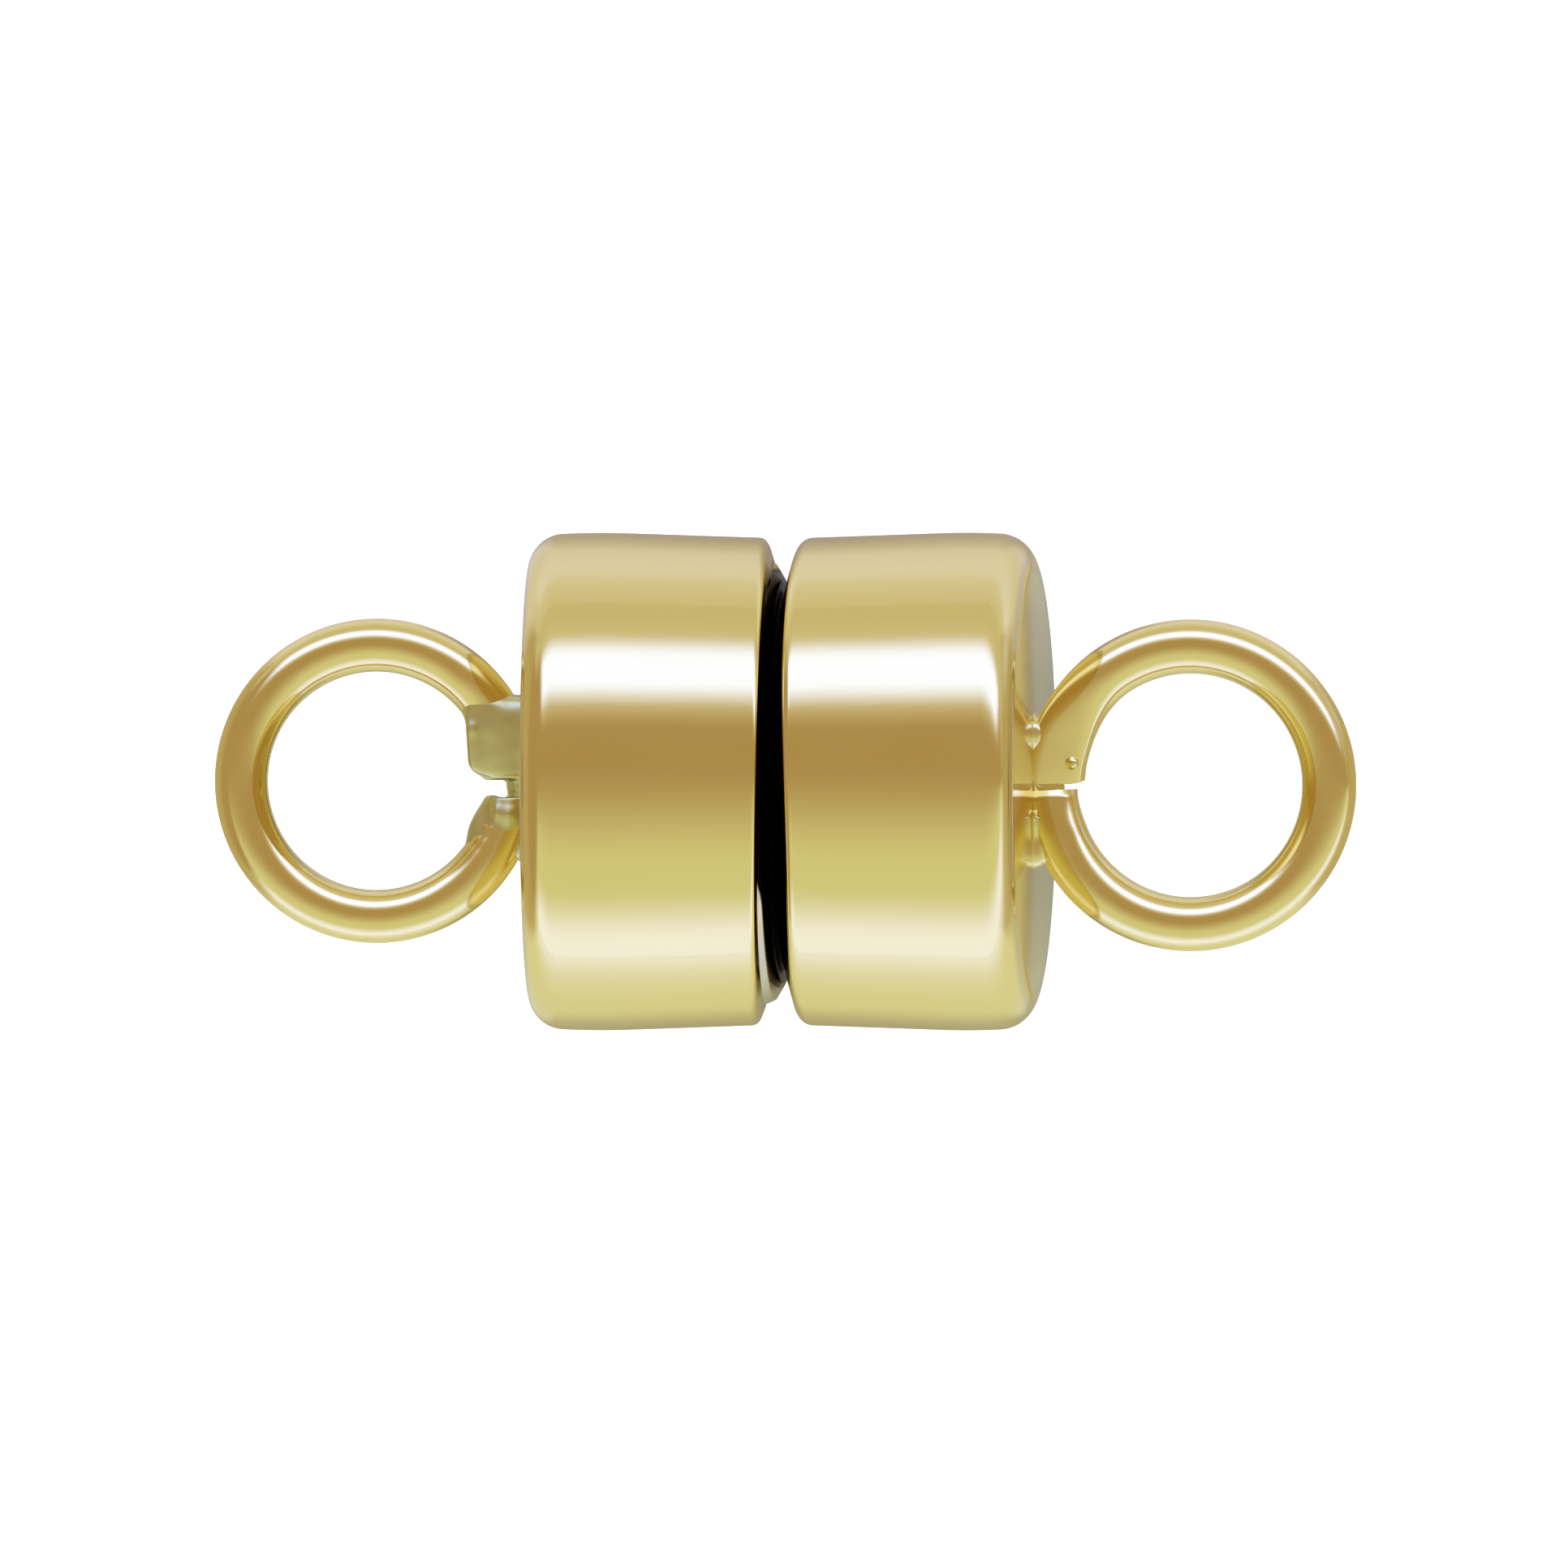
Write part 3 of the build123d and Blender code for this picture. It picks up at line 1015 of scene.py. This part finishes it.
studio = {"base": (0.47, 0.35, 0.22), "middle": 0.13}
panels = (
    {"light": (0.25, 0.33, 0.45), "rise": (24, 42), "fall": (64, 84), "ends": (0.70, 0.87)},
    {"light": (0.42, 0.68, 2.6), "rise": (34, 48), "fall": (60, 74), "ends": (0.70, 0.84)},
    {"light": (0.19, 0.28, 0.3), "rise": (64, 84), "fall": (150, 179), "ends": (0.9, 1.0)},
    {"light": (0.26, 0.41, 0.40), "rise": (-181, -180), "fall": (-44, 8), "ends": (0.9, 1.0)},
    {"light": (0.3, 0.39, 1.5), "rise": (-181, -180), "fall": (-82, -50), "ends": (0.8, 0.95)},
)
softbox = {"size": 0.25, "energy": 0.45, "height": 0.3}


def buildWorld():
    world = bpy.data.worlds.new("studio")
    bpy.context.scene.world = world
    world.use_nodes = True
    tree = world.node_tree
    tree.nodes.clear()
    ray = addNode(tree, "ShaderNodeTexCoord").outputs["Generated"]
    split = addNode(tree, "ShaderNodeSeparateXYZ", inputs={"Vector": ray})
    found = dict(zip("xyz", split.outputs))
    workOut(
        tree,
        found,
        (
            ("angle", "ARCTAN2", "y", "z"),
            ("offMiddle", "SUBTRACT", "x", studio["middle"]),
            ("along", "ABSOLUTE", "offMiddle"),
        ),
    )
    total = addNode(tree, "ShaderNodeCombineXYZ", inputs=dict(enumerate(studio["base"]))).outputs[0]
    for panel in panels:
        rows = (
            ("rise", "STEP", "angle", *np.radians(panel["rise"]).tolist()),
            ("fall", "STEP", "angle", *np.radians(panel["fall"]).tolist()),
            ("ends", "STEP", "along", *panel["ends"]),
            ("band", "SUBTRACT", "rise", "fall"),
            ("length", "SUBTRACT", 1.0, "ends"),
            ("share", "MULTIPLY", "band", "length"),
        )
        workOut(tree, found, rows)
        lit = {0: panel["light"], "Scale": found["share"]}
        glow = addNode(tree, "ShaderNodeVectorMath", {"operation": "SCALE"}, lit).outputs[0]
        both = {0: total, 1: glow}
        total = addNode(tree, "ShaderNodeVectorMath", {"operation": "ADD"}, both).outputs[0]
    background = addNode(tree, "ShaderNodeBackground", inputs={"Color": total})
    addNode(tree, "ShaderNodeOutputWorld", inputs={"Surface": background.outputs[0]})


def addSoftbox():
    light = bpy.data.lights.new("overhead", "AREA")
    light.shape = "DISK"
    light.size = softbox["size"]
    light.energy = softbox["energy"]
    lamp = bpy.data.objects.new("overhead", light)
    lamp.location = (0, 0, softbox["height"])
    lamp.visible_glossy = False
    bpy.context.scene.collection.objects.link(lamp)


buildWorld()
addSoftbox()
print("light made")

# Camera: looks down on the clasp, turned a little towards its right end

view = {
    "distance": 0.4,  # in metres
    "tilt": math.radians(4.25),
    "aim": (-0.011, -0.022),
    "width": 14.206,  # of what it sees at the barrel's axis
    "sensor": 36,
}


def addCamera():
    lens = bpy.data.cameras.new("camera")
    camera = bpy.data.objects.new("camera", lens)
    back = Vector((math.sin(view["tilt"]), 0, math.cos(view["tilt"])))
    right = Vector((math.cos(view["tilt"]), 0, -math.sin(view["tilt"])))
    aim = Vector((*view["aim"], axisHeight)) * mm
    turn = Matrix((right, Vector((0, 1, 0)), back)).transposed()
    camera.matrix_world = Matrix.Translation(aim + back * view["distance"]) @ turn.to_4x4()
    lens.sensor_width = view["sensor"]
    lens.lens = view["sensor"] * view["distance"] / (view["width"] * mm)
    lens.clip_start = 0.01
    lens.clip_end = 10
    bpy.context.scene.collection.objects.link(camera)
    bpy.context.scene.camera = camera


addCamera()
bpy.context.scene.view_settings.view_transform = "Standard"
print("camera made")

# What stands for what

for piece, node, body, slot in (
    (leftCup, "left_looped_cup", "left_half", "gold_filled"),
    (leftRing, "left_looped_cup", "left_half", "gold_filled"),
    (leftSolder, "left_looped_cup", "left_half", "gold_filled"),
    (leftMagnet, "left_magnet", "left_half", "nickel_plate"),
    (rightMagnet, "right_magnet", "right_magnet", "nickel_plate"),
    (rightCup, "right_looped_cup", "right_half", "gold_filled"),
    (rightRing, "right_looped_cup", "right_half", "gold_filled"),
    (rightSolder, "right_looped_cup", "right_half", "gold_filled"),
):
    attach(piece, body)
    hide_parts(node)
